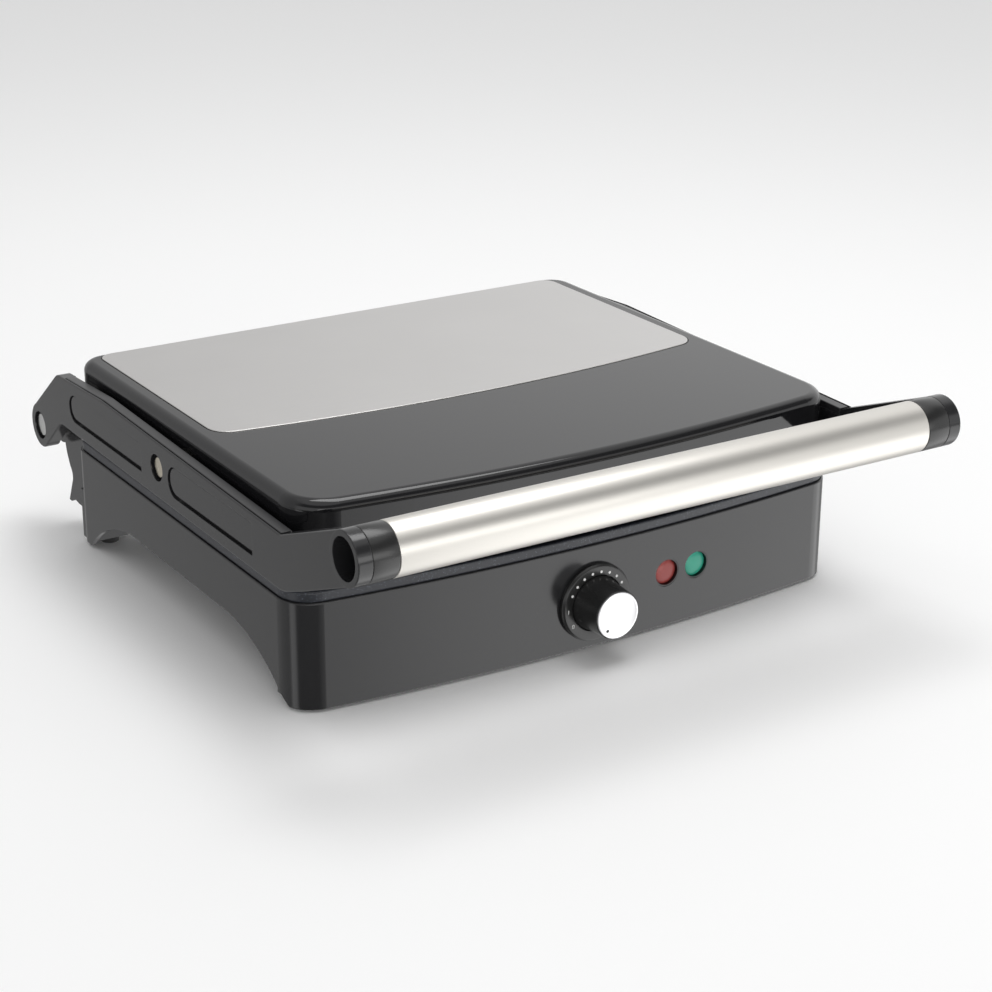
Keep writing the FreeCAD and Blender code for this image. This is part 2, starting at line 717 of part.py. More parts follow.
# ================================================================================================
# Hinge
# ================================================================================================
def make_hinge(side, name):
    """Bracket with a cord hook on the base's rear wall, its pin and the washer beside the arm."""
    start, length = span(side, d.bracket_inner_x, d.bracket_outer_x)
    bracket = Piece("hinge_bracket_" + name)
    bracket.add(SIDEWAYS, start, length, [
        (d.base_rear_y, 17.0), (171.0, 17.0), (177.3, 17.8), (183.3, 14.9), (186.8, 14.9),
        (177.6, 33.5), (182.1, 38.5), (186.0, 46.0), (188.0, d.hinge_z - 10), (d.hinge_y, d.hinge_z),
        (183.5, 74.8), (d.base_rear_y, 59.5)])
    bracket.round_edges(7, edge_at(SIDEWAYS, [(177.6, 33.5)]))
    bracket.round_edges(12, edge_at(SIDEWAYS, [(182.1, 38.5)]))
    bracket.add(SIDEWAYS, start, length, circles=[(d.hinge_y, d.hinge_z, d.eye_radius - 0.5)])
    bracket.cut(SIDEWAYS, start - 1, length + 2, circles=[(d.hinge_y, d.hinge_z, d.pin_radius)])
    bracket.cut(FACING, d.base_rear_y - 1, 9.6, circles=[
        (side * BRACKET_SCREW_X, z, 2.0) for z in BRACKET_SCREW_Z])
    head_face = d.arm_outer_x - 1.3
    toward = "x" if side < 0 else "-x"
    pin = screw("hinge_pin_whole_" + name, toward, (side * head_face, d.hinge_y, d.hinge_z),
                6.5, 2.9, d.pin_radius, 20.6)
    register(pin, "hinge_pin_" + name)
    gap = 0.4
    start, length = span(side, d.bracket_outer_x, d.arm_inner_x - gap)
    disc = cylinder("washer_disc_" + name, "x", (start, d.hinge_y, d.hinge_z), 9.0, length)
    hole = cylinder("washer_hole_" + name, "x", (start - 1, d.hinge_y, d.hinge_z),
                    d.pin_radius + d.running_gap, length + 2)
    return cut_from("washer_" + name, disc, hole)


# ================================================================================================
# Arms and handle
# ================================================================================================
def rail_outline(cutter):
    """Side outline of the cover strip on an arm; the cutter stands above the arm's top edge."""
    low = d.rail_depth
    slope = (d.arm_mid_z - d.rail_front_z) / (d.arm_mid_y - d.rail_front_y)
    rear_z = d.arm_mid_z - (d.rail_rear_y - d.arm_mid_y) * 0.0489
    bottom = [(d.rail_front_y + 1.5, d.rail_front_z - low), (d.arm_mid_y, d.arm_mid_z - low),
              (d.rail_rear_y, rear_z - low)]
    if cutter:
        return bottom + [(d.rail_rear_y, rear_z + 6), (d.rail_front_y, rear_z + 6),
                         (d.rail_front_y, d.rail_front_z)]
    nose = 1.5
    return bottom + [(d.rail_rear_y, rear_z), (d.arm_mid_y, d.arm_mid_z),
                     (d.rail_front_y + nose, d.rail_front_z + slope * nose)]


def make_arm(side, name):
    """Flat lever from the hinge eye to the handle boss, with a tubular spigot into the handle."""
    arm = Piece(name + "_arm")
    start, length = span(side, d.arm_inner_x, d.arm_outer_x)
    outer_face = side * d.arm_outer_x
    top_rear = (161.0, 104.2)
    hook = (158.8, 74.5)
    low_front = (-123.9, d.arm_low_z)
    low_rise = (-146.0, 80.7)
    arm.add(SIDEWAYS, start, length, [
        (d.handle_y + 5.1, d.handle_z + 12.7), (d.rail_front_y, d.rail_front_z),
        (d.arm_mid_y, d.arm_mid_z), top_rear, (d.hinge_y + 7.8, d.hinge_z + 10.7),
        (d.hinge_y - 8.5, d.hinge_z - 10.1), hook, low_front, low_rise,
        (d.handle_y - 5.2, d.handle_z - 12.7)])
    arm.round_edges(9, edge_at(SIDEWAYS, [top_rear]))
    arm.round_edges(5, edge_at(SIDEWAYS, [hook]))
    arm.round_edges(24, edge_at(SIDEWAYS, [low_front, low_rise]))
    arm.add(SIDEWAYS, start, length, circles=[(d.hinge_y, d.hinge_z, d.eye_radius)])
    arm.round_edges(0.8, edge_level("x", outer_face))
    handle = (d.handle_y, d.handle_z)
    boss_start, boss_length = span(side, d.sleeve_outer_x, d.handle_half)
    arm.add(SIDEWAYS, boss_start, boss_length, circles=[handle + (d.tube_radius,)])
    arm.round_edges(0.6, edge_level("x", side * d.handle_half.value))
    room_start, room_length = span(side, d.arm_inner_x - 0.5, d.sleeve_outer_x)
    arm.cut(SIDEWAYS, room_start, room_length, circles=[handle + (d.tube_radius + 0.3,)])
    spigot_start, spigot_length = span(side, d.spigot_end_x, d.sleeve_outer_x + 1)
    spigot_radius = d.tube_radius - d.tube_wall - 0.1
    arm.add(SIDEWAYS, spigot_start, spigot_length, circles=[handle + (spigot_radius,)])
    bore_start, bore_length = span(side, d.spigot_end_x - 1, d.handle_half + 1)
    arm.cut(SIDEWAYS, bore_start, bore_length, circles=[handle + (d.bore_radius,)])
    arm.cut(FLAT, d.handle_z - 16, 16.0, circles=[(side * HANDLE_SCREW_X, d.handle_y, 1.5)])

    # seat of the cover strip along the top edge
    seat_start, seat_length = span(side, d.arm_inner_x - 1, d.arm_outer_x - d.rail_lip)
    arm.cut(SIDEWAYS, seat_start, seat_length, rail_outline(True))
    # two long recesses in the outer face, each with a raised field that leaves a groove
    for rear_y, front_y, low_z, high_z in ((143.0, 41.8, 81.9, 98.5), (7.2, -92.4, 80.2, 98.0)):
        depth, groove = 2.6, 2.5
        end = (high_z - low_z) / 2
        cut_start, cut_length = span(side, d.arm_outer_x - depth, d.arm_outer_x + 1)
        slot = [(front_y, low_z), (rear_y - end, low_z, end + 0.001),
                (rear_y - end, high_z), (front_y, high_z)]
        arm.cut(SIDEWAYS, cut_start, cut_length, slot)
        field_start, field_length = span(side, d.arm_outer_x - depth, d.arm_outer_x - 0.3)
        field_low, field_high = low_z + groove, high_z - 0.3
        field_end = (field_high - field_low) / 2
        field_y = rear_y - groove - field_end
        field = [(front_y, field_low), (field_y, field_low, field_end + 0.001),
                 (field_y, field_high), (front_y, field_high)]
        arm.add(SIDEWAYS, field_start, field_length, field)
    # through holes and counterbores of the hinge pin and of the lid pivot
    for y, z, bore, head in (
            (d.hinge_y, d.hinge_z, d.pin_radius + d.running_gap, 8.5),
            (d.pivot_y, d.pivot_z, PIVOT_SHANK + d.running_gap, 7.6)):
        arm.cut(SIDEWAYS, start - 1, length + 2, circles=[(y, z, bore)])
        sink_start, sink_length = span(side, d.arm_outer_x - 4.5, d.arm_outer_x + 1)
        arm.cut(SIDEWAYS, sink_start, sink_length, circles=[(y, z, head)])

    rail = Piece(name + "_arm_rail")
    rail_start, rail_length = span(side, d.arm_inner_x, d.arm_outer_x - d.rail_lip - d.rail_gap)
    rail.add(SIDEWAYS, rail_start, rail_length, rail_outline(False))
    rail.round_edges(0.6, edge_level("x", side * (d.arm_outer_x - d.rail_lip - d.rail_gap)))
    rail.round_edges(0.6, edge_level("x", side * d.arm_inner_x))

    sleeve_start, sleeve_length = span(side, d.sleeve_inner_x, d.sleeve_outer_x - 0.15)
    outer = cylinder("sleeve_outer_" + name, "x", (sleeve_start,) + handle, d.tube_radius, sleeve_length)
    hole = cylinder("sleeve_hole_" + name, "x", (sleeve_start - 1,) + handle, spigot_radius,
                    sleeve_length + 2)
    register(cut_from("sleeve_" + name, outer, hole), "handle_sleeve_" + name)


def make_handle():
    """Steel tube between the sleeves and the two screws that lock it on the arms' spigots."""
    half = d.sleeve_inner_x - 0.1
    tube = Piece("handle_tube")
    inner = d.tube_radius - d.tube_wall
    centre = (d.handle_y, d.handle_z)
    tube.add(SIDEWAYS, -half, half * 2, circles=[centre + (d.tube_radius,), centre + (inner,)])
    tube.cut(FLAT, d.handle_z - 16, 8.0, circles=[
        (side * HANDLE_SCREW_X, d.handle_y, 1.5) for side, _ in SIDES])
    group("handle_screws", [
        cylinder("handle_screw", "z", (side * HANDLE_SCREW_X, d.handle_y,
                                       d.handle_z - d.tube_radius + 0.3), 1.5, 3.7)
        for side, _ in SIDES])


# ================================================================================================
# Lid
# ================================================================================================
def make_upper_housing():
    """Deep lid shell with rounded shoulders and a shallow seat for the steel plate."""
    lid = Piece("upper_housing")
    front, rear = d.lid_front_y, d.lid_rear_y
    lid.add(FLAT, d.lid_low_z, d.lid_top_z - d.lid_low_z,
            rounded_front(d.lid_half, front, rear, d.lid_bow, 25.0, 15.0))
    lid.round_edges(d.lid_edge_radius, edge_level("z", d.lid_top_z))
    wall = d.lid_wall
    lid.cut(FLAT, d.lid_low_z - 1, d.lid_top_z - d.lid_low_z - 2.2,
            rounded_front(d.lid_half - wall, front + wall, rear - wall, d.lid_bow, 22.0, 12.0))
    seat = d.steel_thick - d.steel_proud
    gap = d.steel_gap
    lid.cut(FLAT, d.lid_top_z - seat, seat + 1, rounded_front(
        d.steel_half + gap, d.steel_front_y - gap, d.steel_rear_y + gap, d.steel_bow, 14.0, 9.0))
    for side, _ in SIDES:
        start, length = span(side, 152.0, d.lid_half - 1)
        lid.add(SIDEWAYS, start, length, circles=[(d.pivot_y, d.pivot_z, 8.0)])
        start, length = span(side, 155.0, d.lid_half + 1)
        lid.cut(SIDEWAYS, start, length, circles=[(d.pivot_y, d.pivot_z, 3.0)])


def make_steel_plate():
    """Satin steel plate let into the lid, its front edge bowed."""
    plate = Piece("steel_top_plate")
    low = d.lid_top_z - d.steel_thick + d.steel_proud
    front, rear = d.steel_front_y, d.steel_rear_y
    plate.add(FLAT, low, d.steel_thick,
              rounded_front(d.steel_half, front, rear, d.steel_bow, 13.4, 8.4))
    plate.round_edges(0.4, edge_level("z", low + d.steel_thick))


def make_lid_pivots():
    """Shoulder screws that carry the lid between the arms, and the bushes that centre it."""
    screws, bushes = [], []
    head_face = d.arm_outer_x - 1.5
    for side, name in SIDES:
        toward = "x" if side < 0 else "-x"
        shoulder = head_face - 2.7 - d.lid_half
        whole = screw("pivot_shoulder_" + name, toward, (side * head_face, d.pivot_y, d.pivot_z),
                      5.4, 2.7, PIVOT_SHANK, shoulder)
        thread_start, thread_length = span(side, 156.0, d.lid_half)
        thread = cylinder("pivot_thread_" + name, "x", (thread_start, d.pivot_y, d.pivot_z),
                          3.0, thread_length)
        screws.append(fuse("pivot_screw_" + name, [whole, thread]))
        start, length = span(side, d.lid_half, d.arm_inner_x - 0.5)
        disc = cylinder("bush_disc_" + name, "x", (start, d.pivot_y, d.pivot_z), 7.5, length)
        hole = cylinder("bush_hole_" + name, "x", (start - 1, d.pivot_y, d.pivot_z),
                        PIVOT_SHANK, length + 2)
        bushes.append(cut_from("bush_" + name, disc, hole))
    group("pivot_screws", screws)
    group("float_bushes", bushes)


# ================================================================================================
# Build, check, write
# ================================================================================================
def build():
    fill_sheet()
    make_lower_housing()
    make_bottom_cover()
    make_small_base_parts()
    make_lower_plate()
    heating_element("lower_heating_element", 51.9, -1)
    make_heat_shield("lower_heat_shield", 43.5, 5.0, True)
    make_controls()
    make_lamps()
    group("hinge_washers", [make_hinge(side, name) for side, name in SIDES])
    for side, name in SIDES:
        make_arm(side, name)
    make_handle()
    make_upper_housing()
    make_steel_plate()
    make_upper_plate()
    heating_element("upper_heating_element", 83.4, 1)
    make_heat_shield("upper_heat_shield", 87.5, 5.0, False)
    make_lid_pivots()
    doc.recompute()


def check_and_write():
    """Stop on any failed object or bad shape, then write one STEP file per sub-part."""
    for thing in doc.Objects:
        if "Invalid" in thing.State or "Error" in thing.State:
            raise RuntimeError("%s failed: %s" % (thing.Label, thing.State))
    os.makedirs("parts", exist_ok=True)
    for label, thing in pieces.items():
        if thing.Shape.isNull() or not thing.Shape.isValid():
            raise RuntimeError("%s has no valid shape" % label)
    for label, thing in pieces.items():
        thing.Shape.exportStep("parts/%s.step" % label)
        print("%-24s %d solids %10.0f mm3" % (label, len(thing.Shape.Solids), thing.Shape.Volume))


build()
check_and_write()
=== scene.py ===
"""Finishes, turned pieces and studio for a packed panini press (contact grill).

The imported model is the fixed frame: metres, +X to the right, +Y to the rear, +Z up, the press closed
and standing on z = 0.  Each operator makes one piece, or one group of like pieces, from the boxes of
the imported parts, and a sidebar panel lists them in order.
"""

import json
import math

import bmesh
import bpy
from bpy.props import FloatProperty, FloatVectorProperty, IntProperty, PointerProperty
from mathutils import Matrix, Vector


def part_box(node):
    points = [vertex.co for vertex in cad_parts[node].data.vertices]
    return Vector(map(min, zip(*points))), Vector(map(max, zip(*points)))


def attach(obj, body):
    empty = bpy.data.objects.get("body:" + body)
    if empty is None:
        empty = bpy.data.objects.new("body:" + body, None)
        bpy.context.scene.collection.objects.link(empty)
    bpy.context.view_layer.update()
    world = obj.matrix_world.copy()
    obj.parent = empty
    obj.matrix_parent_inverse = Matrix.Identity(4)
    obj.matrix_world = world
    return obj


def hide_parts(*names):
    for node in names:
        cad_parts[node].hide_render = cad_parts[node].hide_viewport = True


bl_info = {
    "name": "Panini press",
    "version": (1, 0, 0),
    "blender": (4, 5, 0),
    "location": "3D View > Sidebar > Press",
    "description": "Turned pieces, finishes and studio for a packed panini press",
    "category": "Object",
}

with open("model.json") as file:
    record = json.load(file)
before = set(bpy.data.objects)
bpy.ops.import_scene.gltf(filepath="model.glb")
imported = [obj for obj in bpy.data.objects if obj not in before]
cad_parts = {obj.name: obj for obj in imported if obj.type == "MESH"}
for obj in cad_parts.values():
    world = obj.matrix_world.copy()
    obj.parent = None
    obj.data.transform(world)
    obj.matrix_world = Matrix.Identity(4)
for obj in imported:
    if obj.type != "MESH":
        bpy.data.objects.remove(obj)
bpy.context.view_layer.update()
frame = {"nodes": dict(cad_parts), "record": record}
MM = 0.001
SIDES = ("left", "right")
TUBE_WALL = 1.5 * MM
SLEEVE_WALL = 2.0 * MM
KNOB_GAP = 0.5 * MM          # between the knob and the dial ring round it
FIRST_DOT = math.radians(29.0)
POINTER_ANGLE = math.radians(230.0)
DIAL_NUMBERS = (("0", math.radians(214.0)), ("1", math.radians(184.0)))
UPRIGHT = Matrix.Rotation(math.radians(90.0), 4, "X")   # stands a flat shape up to face -Y


# ---------------------------------------------------------------------------------------------
# Reading the frame
# ---------------------------------------------------------------------------------------------
def middle(node):
    """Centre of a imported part's box."""
    low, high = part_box(node)
    return (Vector(low) + Vector(high)) / 2


def extent(node):
    """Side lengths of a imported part's box."""
    low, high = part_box(node)
    return Vector(high) - Vector(low)


KNOB_AXIS = middle("knob_cap")
DIAL_FACE_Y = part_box("dial_ring")[0][1]
SLOT_OF = {part["node"]: part["material_slot"] for part in frame["record"]["subparts"]}


def round_axis(radius, angle, y):
    """Place on a circle round the knob's axis; the angle runs from +X towards +Z."""
    return (KNOB_AXIS.x + math.cos(angle) * radius, y, KNOB_AXIS.z + math.sin(angle) * radius)


# ---------------------------------------------------------------------------------------------
# Sizes and colours that can be changed in the sidebar
# ---------------------------------------------------------------------------------------------
def colour(name, description, default):
    return FloatVectorProperty(name=name, description=description, default=default,
                               subtype="COLOR", size=3, min=0.0, max=1.0)


def length(name, description, default):
    return FloatProperty(name=name, description=description, default=default, min=0.0,
                         unit="LENGTH", subtype="DISTANCE", precision=5)


class PressFinishes(bpy.types.PropertyGroup):
    """Base colours of the finishes."""
    plastic: colour("Moulded plastic", "Satin black of the base and the arms", (0.016, 0.016, 0.017))
    gloss: colour("Gloss plastic", "High-gloss black of the sleeves and the knob", (0.006, 0.006, 0.007))
    lid: colour("Lid", "Gloss black of the lid", (0.010, 0.010, 0.011))
    steel: colour("Steel", "Brushed steel of the top plate and the handle", (0.62, 0.61, 0.60))
    coat: colour("Non-stick coat", "Blue-grey coat of the grill plates", (0.018, 0.020, 0.026))
    red: colour("Red lens", "Power lamp", (0.028, 0.006, 0.005))
    green: colour("Green lens", "Ready lamp", (0.003, 0.045, 0.035))


class PressHandle(bpy.types.PropertyGroup):
    """Tube and sleeves of the handle."""
    edge: length("Edge rounding", "Rounding of the sleeves' and the tube's ends", 0.45 * MM)
    segments: IntProperty(name="Segments", description="Flat sides round the handle",
                          default=128, min=24)


class PressControls(bpy.types.PropertyGroup):
    """Knob, dial and lamps."""
    dot_radius: length("Dot", "Radius of a printed dot on the dial", 0.75 * MM)
    mark_proud: length("Print thickness", "How far the print stands off the dial", 0.06 * MM)
    dome: length("Lens dome", "How far the lamp lenses bulge", 1.1 * MM)
    dot_reach: length("Dot circle", "Radius of the circle of dots", 17.8 * MM)
    steps: IntProperty(name="Dots", description="Dots on the upper part of the dial",
                       default=8, min=2)
    spacing: FloatProperty(name="Dot spacing", description="Angle from one dot to the next",
                           default=math.radians(18.0), subtype="ANGLE", unit="ROTATION")


class PressStudio(bpy.types.PropertyGroup):
    """Camera and floor."""
    lens: FloatProperty(name="Focal length", description="On a 36 mm sensor", default=80.53,
                        unit="CAMERA")
    place: FloatVectorProperty(name="Camera", description="Where the camera stands",
                               default=(-0.6258, -1.0157, 0.5099), subtype="XYZ", unit="LENGTH")
    yaw: FloatProperty(name="Yaw", description="Camera's turn from +Y towards +X",
                       default=math.radians(32.49), subtype="ANGLE", unit="ROTATION")
    pitch: FloatProperty(name="Pitch", description="Camera's tilt below the horizon",
                         default=math.radians(21.31), subtype="ANGLE", unit="ROTATION")
    roll: FloatProperty(name="Roll", description="Camera's turn about its own axis",
                        default=math.radians(0.30), subtype="ANGLE", unit="ROTATION")
    floor: colour("Floor", "Plain pale floor", (0.93, 0.93, 0.93))


# ---------------------------------------------------------------------------------------------
# Shader maths
# ---------------------------------------------------------------------------------------------
class Field:
    """A number that varies over a surface, with arithmetic."""

    def __init__(self, finish, socket):
        self.finish = finish
        self.socket = socket

    def maths(self, operation, *others):
        values = dict(enumerate((self,) + others))
        node = self.finish.node("ShaderNodeMath", {"operation": operation}, values)
        return Field(self.finish, node.outputs[0])

    def __add__(self, other):
        return self.maths("ADD", other)

    __radd__ = __add__

    def __sub__(self, other):
        return self.maths("SUBTRACT", other)

    def __rsub__(self, other):
        return (self * -1.0) + other

    def __mul__(self, other):
        return self.maths("MULTIPLY", other)

    __rmul__ = __mul__

    def __pow__(self, other):
        return self.maths("POWER", other)

    def sine(self):
        return self.maths("SINE")

    def between(self, low, high):
        """0 below low, 1 above high, smooth between."""
        node = self.finish.node(
            "ShaderNodeMapRange", {"interpolation_type": "SMOOTHSTEP"},
            {"Value": self, "From Min": low, "From Max": high})
        return Field(self.finish, node.outputs["Result"])


class Finish:
    """One procedural material while it is put together."""

    def __init__(self, name):
        self.material = bpy.data.materials.new(name)
        self.material.use_nodes = True
        self.tree = self.material.node_tree
        self.shader = self.tree.nodes["Principled BSDF"]
        self.place = self.node("ShaderNodeTexCoord").outputs["Object"]

    def node(self, kind, settings=None, sockets=None):
        """Any node: its type, its settings, and the values or links of its sockets."""
        made = self.tree.nodes.new(kind)
        for name, value in (settings or {}).items():
            setattr(made, name, value)
        for name, value in (sockets or {}).items():
            self.join(made.inputs[name], value)
        return made

    def join(self, socket, value):
        if isinstance(value, Field):
            value = value.socket
        if isinstance(value, bpy.types.NodeSocket):
            self.tree.links.new(value, socket)
        else:
            socket.default_value = value

    def stretched(self, scale):
        """Object coordinates, scaled along each axis."""
        return self.node("ShaderNodeMapping", {"vector_type": "POINT"},
                         {"Vector": self.place, "Scale": scale}).outputs[0]

    def noise(self, scale, detail=3.0, roughness=0.55, along=None):
        made = self.node("ShaderNodeTexNoise", {"noise_dimensions": "3D"}, {
            "Vector": along or self.place, "Scale": scale, "Detail": detail,
            "Roughness": roughness})
        return Field(self, made.outputs["Fac"])

    def cells(self, scale):
        made = self.node("ShaderNodeTexVoronoi", {"feature": "F1"},
                         {"Vector": self.place, "Scale": scale})
        return Field(self, made.outputs["Distance"])

    def axes(self):
        """The three object coordinates as fields."""
        split = self.node("ShaderNodeSeparateXYZ", None, {0: self.place})
        return [Field(self, split.outputs[i]) for i in range(3)]

    def mixed(self, factor, first, second):
        """A colour between two colours (or colour sockets)."""
        made = self.node("ShaderNodeMix", {"data_type": "RGBA"},
                         {0: factor, 6: opaque(first), 7: opaque(second)})
        return made.outputs[2]

    def edges(self, radius):
        """0 on flat ground, up to 1 on edges sharper than the radius."""
        rounded = self.node("ShaderNodeBevel", {"samples": 4}, {"Radius": radius}).outputs[0]
        ground = self.node("ShaderNodeNewGeometry").outputs["Normal"]
        dot = self.node("ShaderNodeVectorMath", {"operation": "DOT_PRODUCT"},
                        {0: rounded, 1: ground}).outputs["Value"]
        return (1 - Field(self, dot)).between(0.01, 0.12), rounded

    def done(self, base, roughness, height=None, strength=0.2, depth=0.1 * MM, normal=None,
             **constants):
        """Join what varies to the shader and set what is the same all over."""
        self.join(self.shader.inputs["Base Color"], base)
        self.join(self.shader.inputs["Roughness"], roughness)
        for name, value in constants.items():
            self.shader.inputs[name.replace("_", " ")].default_value = value
        if height is not None:
            sockets = {"Height": height, "Strength": strength, "Distance": depth}
            if normal is not None:
                sockets["Normal"] = normal
            normal = self.node("ShaderNodeBump", None, sockets).outputs[0]
        if normal is not None:
            self.join(self.shader.inputs["Normal"], normal)
        return self.material


def opaque(value):
    """A colour socket as it is, or three numbers with alpha 1."""
    if isinstance(value, bpy.types.NodeSocket):
        return value
    return (*value, 1.0)


def scaled(rgb, factor):
    return tuple(channel * factor for channel in rgb)


# ---------------------------------------------------------------------------------------------
# Finishes
# ---------------------------------------------------------------------------------------------
def moulded_plastic(name, rgb, shine, grain, edge):
    """Black ABS out of a polished mould: faint flow marks, fine grain, and edges painted lighter, partly
    rub wear and partly a painted highlight.
    """
    f = Finish(name)
    edge_highlight_and_wear, rounded = f.edges(edge)
    flow = f.noise(9.0, 4.0)
    fine = f.noise(2600.0, 2.0, 0.6)
    scuffs = f.noise(140.0, 5.0, 0.7).between(0.56, 0.8)
    base = f.mixed(flow, scaled(rgb, 0.9), scaled(rgb, 1.12))
    # Edges painted up to 3.2 times lighter: partly rub wear, partly a painted highlight along the edges.
    base = f.mixed(edge_highlight_and_wear * 0.5, base, scaled(rgb, 3.2))
    roughness = flow * 0.05 + scuffs * 0.05 + fine * 0.03 + edge_highlight_and_wear * 0.1 + (shine - 0.05)
    return f.done(base, roughness, fine, grain, 0.05 * MM, rounded)


def gloss_plastic(name, rgb, shine):
    """Lacquer-like gloss with a trace of orange peel and hairline wipe marks."""
    f = Finish(name)
    peel = f.noise(260.0, 1.0, 0.4)
    wipe = f.noise(30.0, 5.0, 0.7, f.stretched((1.0, 9.0, 4.0)))
    dust = f.cells(900.0).between(0.0, 0.06)
    base = f.mixed(wipe, scaled(rgb, 0.9), scaled(rgb, 1.15))
    base = f.mixed((1 - dust) * 0.12, base, (0.25, 0.25, 0.25))
    roughness = wipe.between(0.45, 0.8) * 0.05 + (1 - dust) * 0.1 + shine
    return f.done(base, roughness, peel, 0.03, 0.03 * MM)


def satin_steel(name, rgb, shine, scale):
    """Rolled steel sheet, fine straight grain along X, faint mottling."""
    f = Finish(name)
    grain = f.noise(1.0, 3.0, 0.6, f.stretched((6.0 * scale, 1500.0 * scale, 1500.0 * scale)))
    broad = f.noise(14.0, 4.0, 0.6)
    base = f.mixed(grain * 0.5 + broad * 0.5, scaled(rgb, 0.92), scaled(rgb, 1.06))
    roughness = grain * 0.08 + broad * 0.05 + (shine - 0.06)
    return f.done(base, roughness, grain, 0.05, 0.02 * MM, Metallic=1.0)


def turned_steel(name, rgb, shine, along):
    """Polished tube or bar: very fine rings round it and a few long handling marks."""
    f = Finish(name)
    fine, coarse = 4200.0, 9.0
    rings = f.noise(1.0, 2.0, 0.6, f.stretched([fine if axis == along else coarse for axis in "xyz"]))
    marks = f.noise(1.0, 4.0, 0.7, f.stretched([6.0 if axis == along else 260.0 for axis in "xyz"]))
    base = f.mixed(rings, scaled(rgb, 0.95), scaled(rgb, 1.05))
    roughness = rings * 0.04 + marks.between(0.55, 0.8) * 0.05 + (shine - 0.02)
    return f.done(base, roughness, rings, 0.02, 0.01 * MM, Metallic=1.0)


def spun_aluminium(name):
    """Knob cap faced on a lathe: concentric grooves round the knob's axis."""
    f = Finish(name)
    x, _, z = f.axes()
    radius = (x * x + (z - KNOB_AXIS.z) ** 2.0) ** 0.5
    grooves = (radius * 14000.0).sine() * 0.5 + 0.5
    uneven = f.noise(900.0, 2.0)
    base = f.mixed(grooves * 0.6 + uneven * 0.4, (0.70, 0.70, 0.71), (0.86, 0.86, 0.87))
    roughness = grooves * 0.06 + uneven * 0.06 + 0.2
    return f.done(base, roughness, grooves, 0.12, 0.02 * MM, Metallic=1.0, Anisotropic=0.6)


def nonstick(name, rgb):
    """Sprayed non-stick coat with light speckles."""
    f = Finish(name)
    specks = 1 - f.cells(1100.0).between(0.12, 0.3)
    patches = f.noise(600.0, 2.0).between(0.4, 0.62)
    orange = f.noise(1500.0, 2.0)
    edge_highlight_and_wear, rounded = f.edges(0.5 * MM)
    base = f.mixed(specks * patches * 0.7, rgb, (0.22, 0.24, 0.29))
    # Edges painted up to 2.4 times lighter: partly rub wear, partly a painted highlight along the edges.
    base = f.mixed(edge_highlight_and_wear * 0.3, base, scaled(rgb, 2.4))
    roughness = orange * 0.12 + 0.32
    return f.done(base, roughness, orange, 0.15, 0.05 * MM, rounded)


def plated(name, rgb, shine):
    """Small plated fixings: slight tarnish in patches, fine tool marks."""
    f = Finish(name)
    tarnish = f.noise(420.0, 4.0, 0.65)
    marks = f.noise(3000.0, 2.0)
    base = f.mixed(tarnish, scaled(rgb, 0.78), rgb)
    roughness = tarnish * 0.1 + marks * 0.05 + shine
    return f.done(base, roughness, marks, 0.05, 0.02 * MM, Metallic=1.0)


def heater_sheath(name):
    """Oxidised heater sheath with straw and blue heat tints."""
    f = Finish(name)
    tint = f.noise(35.0, 3.0)
    scale = f.noise(1200.0, 3.0)
    base = f.mixed(tint.between(0.35, 0.65), (0.10, 0.07, 0.05), (0.06, 0.065, 0.085))
    roughness = scale * 0.2 + 0.38
    return f.done(base, roughness, scale, 0.25, 0.05 * MM, Metallic=0.8)


def dull_moulding(name, rgb, grain_scale, roughness_at):
    """Nylon, rubber and other unpolished mouldings."""
    f = Finish(name)
    grain = f.noise(grain_scale, 3.0, 0.6)
    cloud = f.noise(60.0, 3.0)
    base = f.mixed(cloud, scaled(rgb, 0.85), scaled(rgb, 1.12))
    roughness = grain * 0.12 + roughness_at
    return f.done(base, roughness, grain, 0.3, 0.05 * MM)


def lamp_lens(name, rgb, centre):
    """Moulded lens: fine concentric ribs under a clear, glossy face."""
    f = Finish(name)
    x, _, z = f.axes()
    radius = ((x - centre.x) ** 2.0 + (z - centre.z) ** 2.0) ** 0.5
    ribs = (radius * 7200.0).sine() * 0.5 + 0.5
    # Painted highlight: the lens is painted up to 1.9 times lighter towards its rim.
    rim = radius.between(3.6 * MM, 6.2 * MM)
    cloud = f.noise(500.0, 2.0)
    base = f.mixed(rim, rgb, scaled(rgb, 1.9))
    base = f.mixed(ribs * 0.35 + cloud * 0.2, base, scaled(rgb, 0.5))
    roughness = ribs * 0.06 + cloud * 0.05 + 0.1
    return f.done(base, roughness, ribs, 0.15, 0.05 * MM, Coat_Weight=1.0, Coat_Roughness=0.04,
                  Subsurface_Weight=0.1, Subsurface_Scale=0.004)


def print_white(name):
    """Pad-printed white ink, a little uneven."""
    f = Finish(name)
    ink = f.noise(2600.0, 3.0)
    base = f.mixed(ink, (0.72, 0.72, 0.71), (0.88, 0.88, 0.87))
    return f.done(base, ink * 0.15 + 0.4, ink, 0.1, 0.02 * MM)


